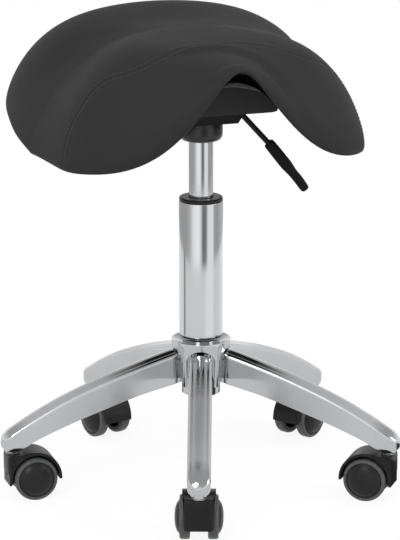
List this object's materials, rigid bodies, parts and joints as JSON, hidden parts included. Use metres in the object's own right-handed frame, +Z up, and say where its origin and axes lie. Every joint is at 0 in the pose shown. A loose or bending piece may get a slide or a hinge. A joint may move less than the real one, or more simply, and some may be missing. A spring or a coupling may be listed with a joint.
{
  "type": "saddle stool",
  "caption": "Height-adjustable saddle stool: sewn saddle seat on a gas spring in a chrome column, with a star base on swivelling twin-wheel castors.",
  "frame": {"origin": "on the floor under the column's axis", "axes": "+Z up along the column, -Y to the saddle's narrow front, +X to the side that the height lever points to"},
  "size_m": [0.4419, 0.4677, 0.5413],
  "materials": {
    "chrome": "bright chrome plate",
    "steel": "machined steel",
    "zinc": "zinc plated steel",
    "powder_black": "black powder coat",
    "plastic_black": "fine grained black moulding",
    "rubber_black": "matte black rubber",
    "tread_grey": "satin dark grey tread",
    "cover_grey": "matte dark grey sewn cover over foam"
  },
  "bodies": {
    "base": {"hub": "chrome", "arm_1": "chrome", "arm_2": "chrome", "arm_3": "chrome", "arm_4": "chrome", "arm_5": "chrome", "column_tube": "chrome", "guide_bush": "plastic_black", "thrust_washer": "steel", "caster_1_stem": "zinc", "caster_2_stem": "zinc", "caster_3_stem": "zinc", "caster_4_stem": "zinc", "caster_5_stem": "zinc"},
    "spindle": {"piston_rod": "chrome", "retaining_clip": "zinc", "bumper": "rubber_black"},
    "seat": {"gas_cylinder": "chrome", "taper_socket": "steel", "boot": "plastic_black", "seat_plate": "powder_black", "plate_bolt_1": "zinc", "plate_bolt_2": "zinc", "plate_bolt_3": "zinc", "plate_bolt_4": "zinc", "seat_shell": "plastic_black", "cushion": "cover_grey"},
    "lever": {"lever_rod": "powder_black", "lever_paddle": "plastic_black"},
    "button": {"release_button": "steel"},
    "caster_1": {"caster_1_hood": "plastic_black", "caster_1_axle": "steel"},
    "wheel_1_left": {"caster_1_disc_left": "plastic_black", "caster_1_tread_left": "tread_grey"},
    "wheel_1_right": {"caster_1_disc_right": "plastic_black", "caster_1_tread_right": "tread_grey"},
    "caster_2": {"caster_2_hood": "plastic_black", "caster_2_axle": "steel"},
    "wheel_2_left": {"caster_2_disc_left": "plastic_black", "caster_2_tread_left": "tread_grey"},
    "wheel_2_right": {"caster_2_disc_right": "plastic_black", "caster_2_tread_right": "tread_grey"},
    "caster_3": {"caster_3_hood": "plastic_black", "caster_3_axle": "steel"},
    "wheel_3_left": {"caster_3_disc_left": "plastic_black", "caster_3_tread_left": "tread_grey"},
    "wheel_3_right": {"caster_3_disc_right": "plastic_black", "caster_3_tread_right": "tread_grey"},
    "caster_4": {"caster_4_hood": "plastic_black", "caster_4_axle": "steel"},
    "wheel_4_left": {"caster_4_disc_left": "plastic_black", "caster_4_tread_left": "tread_grey"},
    "wheel_4_right": {"caster_4_disc_right": "plastic_black", "caster_4_tread_right": "tread_grey"},
    "caster_5": {"caster_5_hood": "plastic_black", "caster_5_axle": "steel"},
    "wheel_5_left": {"caster_5_disc_left": "plastic_black", "caster_5_tread_left": "tread_grey"},
    "wheel_5_right": {"caster_5_disc_right": "plastic_black", "caster_5_tread_right": "tread_grey"}
  },
  "joints": [
    {"name": "seat_swivel", "type": "hinge", "parent": "base", "child": "spindle", "pos_m": [0, 0, 0.115], "axis": [0, 0, 1], "continuous": true},
    {"name": "seat_height", "type": "slide", "parent": "spindle", "child": "seat", "axis": [0, 0, 1], "range_m": [-0.062, 0.068]},
    {"name": "lever_lift", "type": "hinge", "parent": "seat", "child": "lever", "pos_m": [0.02, 0, 0.45655], "axis": [0, -1, 0], "range_deg": [0, 8], "stiffness_Nm_per_rad": 1.2, "springref_deg": -5.73},
    {"name": "button_press", "type": "slide", "parent": "seat", "child": "button", "axis": [0, 0, -1], "range_m": [0, 0.003]},
    {"name": "caster_1_swivel", "type": "hinge", "parent": "base", "child": "caster_1", "pos_m": [-0.07642, -0.2146, 0.05], "axis": [0, 0, 1], "continuous": true},
    {"name": "wheel_1_left_roll", "type": "hinge", "parent": "caster_1", "child": "wheel_1_left", "pos_m": [-0.06853, -0.19246, 0.025], "axis": [0.9421, -0.3355, 0], "continuous": true},
    {"name": "wheel_1_right_roll", "type": "hinge", "parent": "caster_1", "child": "wheel_1_right", "pos_m": [-0.06853, -0.19246, 0.025], "axis": [0.9421, -0.3355, 0], "continuous": true},
    {"name": "caster_2_swivel", "type": "hinge", "parent": "base", "child": "caster_2", "pos_m": [0.18048, -0.13899, 0.05], "axis": [0, 0, 1], "continuous": true},
    {"name": "wheel_2_left_roll", "type": "hinge", "parent": "caster_2", "child": "wheel_2_left", "pos_m": [0.16187, -0.12465, 0.025], "axis": [0.6101, 0.7923, 0], "continuous": true},
    {"name": "wheel_2_right_roll", "type": "hinge", "parent": "caster_2", "child": "wheel_2_right", "pos_m": [0.16187, -0.12465, 0.025], "axis": [0.6101, 0.7923, 0], "continuous": true},
    {"name": "caster_3_swivel", "type": "hinge", "parent": "base", "child": "caster_3", "pos_m": [0.18796, 0.1287, 0.05], "axis": [0, 0, 1], "continuous": true},
    {"name": "wheel_3_left_roll", "type": "hinge", "parent": "caster_3", "child": "wheel_3_left", "pos_m": [0.16857, 0.11542, 0.025], "axis": [-0.565, 0.8251, 0], "continuous": true},
    {"name": "wheel_3_right_roll", "type": "hinge", "parent": "caster_3", "child": "wheel_3_right", "pos_m": [0.16857, 0.11542, 0.025], "axis": [-0.565, 0.8251, 0], "continuous": true},
    {"name": "caster_4_swivel", "type": "hinge", "parent": "base", "child": "caster_4", "pos_m": [-0.06432, 0.21853, 0.05], "axis": [0, 0, 1], "continuous": true},
    {"name": "wheel_4_left_roll", "type": "hinge", "parent": "caster_4", "child": "wheel_4_left", "pos_m": [-0.05768, 0.19599, 0.025], "axis": [-0.9593, -0.2823, 0], "continuous": true},
    {"name": "wheel_4_right_roll", "type": "hinge", "parent": "caster_4", "child": "wheel_4_right", "pos_m": [-0.05768, 0.19599, 0.025], "axis": [-0.9593, -0.2823, 0], "continuous": true},
    {"name": "caster_5_swivel", "type": "hinge", "parent": "base", "child": "caster_5", "pos_m": [-0.22771, 0.00636, 0.05], "axis": [0, 0, 1], "continuous": true},
    {"name": "wheel_5_left_roll", "type": "hinge", "parent": "caster_5", "child": "wheel_5_left", "pos_m": [-0.20422, 0.0057, 0.025], "axis": [-0.0279, -0.9996, 0], "continuous": true},
    {"name": "wheel_5_right_roll", "type": "hinge", "parent": "caster_5", "child": "wheel_5_right", "pos_m": [-0.20422, 0.0057, 0.025], "axis": [-0.0279, -0.9996, 0], "continuous": true}
  ],
  "couplings": [
    {"joint": "button_press", "follows": "lever_lift", "m_per_rad": 0.0205}
  ]
}
